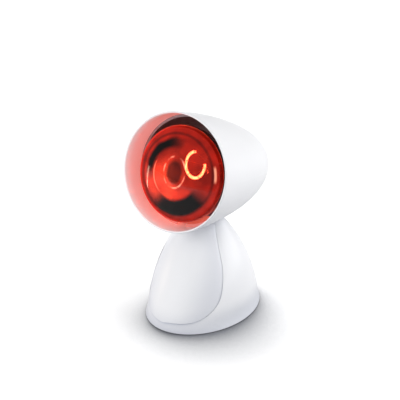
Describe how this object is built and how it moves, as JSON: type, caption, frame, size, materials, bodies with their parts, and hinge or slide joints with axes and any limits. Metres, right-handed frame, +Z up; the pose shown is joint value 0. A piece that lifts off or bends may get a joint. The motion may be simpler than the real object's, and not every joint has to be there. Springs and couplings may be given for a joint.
{
  "type": "infrared heat therapy lamp",
  "caption": "Infrared heat therapy lamp: a bullet-shaped white shade with a ruby reflector bulb, hinged to tilt on a domed white base.",
  "frame": {"origin": "on the table, under the middle of the oval foot", "axes": "+Z up, the lamp faces -Y, +X to the right of someone who looks at its front"},
  "size_m": [0.118, 0.1671, 0.2231],
  "materials": {
    "white_plastic": "glossy white",
    "shade_plastic": "glossy white",
    "plate_plastic": "matt light grey",
    "foot_rubber": "matt grey",
    "screw_steel": "zinc plated",
    "gland_plastic": "satin light grey",
    "clamp_plastic": "matt",
    "terminal_plastic": "matt off-white",
    "terminal_brass": "bright",
    "lead_sleeve": "matt",
    "bracket_steel": "zinc plated",
    "pin_steel": "bright",
    "plunger_plastic": "satin",
    "arm_plastic": "matt light grey",
    "shield_aluminium": "bright rolled",
    "lampholder_porcelain": "glazed",
    "ruby_glass": "clear ruby",
    "silvered_glass": "silvered",
    "cap_metal": "bright",
    "cap_glass": "black",
    "cap_solder": "dull solder",
    "stem_glass": "clear",
    "filament_wire": "drawn",
    "support_wire": "drawn"
  },
  "bodies": {
    "base": {"rear_housing": "white_plastic", "front_cover": "white_plastic", "base_plate": "plate_plastic", "foot_ring": "foot_rubber", "base_screws": "screw_steel", "clamp_screws": "screw_steel", "bracket_screws": "screw_steel", "cord_gland": "gland_plastic", "cord_clamp": "clamp_plastic", "terminal_block": "terminal_plastic", "terminal_screws": "terminal_brass", "base_leads": "lead_sleeve", "hinge_bracket": "bracket_steel", "hinge_pin": "pin_steel", "pin_clip": "pin_steel", "detent_spring": "pin_steel"},
    "plunger": {"detent_plunger": "plunger_plastic"},
    "head": {"shade": "shade_plastic", "heat_shield": "shield_aluminium", "tilt_arm": "arm_plastic", "arm_screws": "screw_steel", "lampholder_body": "lampholder_porcelain", "lampholder_shell": "terminal_brass", "lampholder_contact": "terminal_brass", "lampholder_terminals": "terminal_brass", "lampholder_strap": "bracket_steel", "strap_screws": "screw_steel", "holder_screws": "screw_steel", "head_leads": "lead_sleeve"},
    "bulb": {"bulb_front_glass": "ruby_glass", "bulb_reflector": "silvered_glass", "bulb_cap": "cap_metal", "cap_insulator": "cap_glass", "cap_contact": "cap_solder", "bulb_stem": "stem_glass", "filament": "filament_wire", "filament_supports": "support_wire"}
  },
  "joints": [
    {"name": "head_tilt", "type": "hinge", "parent": "base", "child": "head", "pos_m": [0, 0.002, 0.083], "axis": [-1, 0, 0], "range_deg": [-10, 30]},
    {"name": "bulb_unscrew", "type": "slide", "parent": "head", "child": "bulb", "axis": [0, -0.9659, 0.2588], "range_m": [0, 0.13]},
    {"name": "detent_press", "type": "slide", "parent": "base", "child": "plunger", "axis": [0, 0, -1], "range_m": [0, 0.001], "stiffness_N_per_m": 1500, "springref_m": -0.002, "deforming": ["detent_spring"]}
  ]
}
